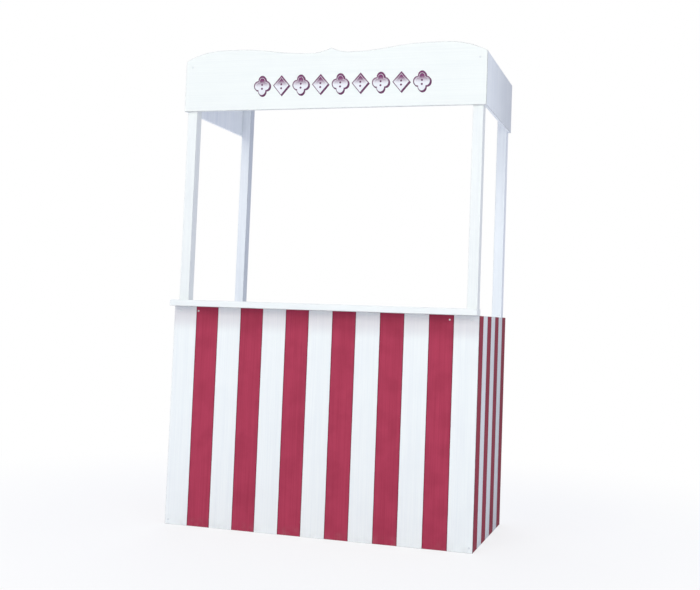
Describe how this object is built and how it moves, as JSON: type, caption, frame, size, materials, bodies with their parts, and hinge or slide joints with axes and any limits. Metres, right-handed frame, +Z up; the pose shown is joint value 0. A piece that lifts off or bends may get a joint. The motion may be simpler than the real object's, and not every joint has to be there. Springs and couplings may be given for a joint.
{
  "type": "wooden market stall",
  "caption": "Free-standing open-topped market stall of white-painted timber with a striped base, a narrow counter shelf and a serpentine front fascia on square posts.",
  "frame": {"origin": "on the floor under the middle of the whole stall, half way across its width and half way between the counter's front edge and the back of the rear posts", "axes": "+Z up, the front with the serving counter faces -Y, +X to the right for someone facing the front"},
  "size_m": [1.35, 0.67, 2.061],
  "materials": {
    "painted_timber": "brushed satin white paint on planed softwood",
    "striped_board": "satin white paint with masked raspberry red stripes on plywood",
    "counter_board": "satin white paint on a planed softwood board",
    "fascia_board": "satin white paint on plywood"
  },
  "bodies": {
    "root": {"front_left_post": "painted_timber", "front_right_post": "painted_timber", "rear_left_post": "painted_timber", "rear_right_post": "painted_timber", "front_bottom_rail": "painted_timber", "left_bottom_rail": "painted_timber", "right_bottom_rail": "painted_timber", "front_top_rail": "painted_timber", "left_top_rail": "painted_timber", "right_top_rail": "painted_timber", "front_header_rail": "painted_timber", "left_header_rail": "painted_timber", "right_header_rail": "painted_timber", "rear_header_rail": "painted_timber", "front_panel": "striped_board", "left_side_panel": "striped_board", "right_side_panel": "striped_board", "counter_shelf": "counter_board", "front_fascia": "fascia_board", "left_fascia": "fascia_board", "right_fascia": "fascia_board"}
  },
  "joints": []
}
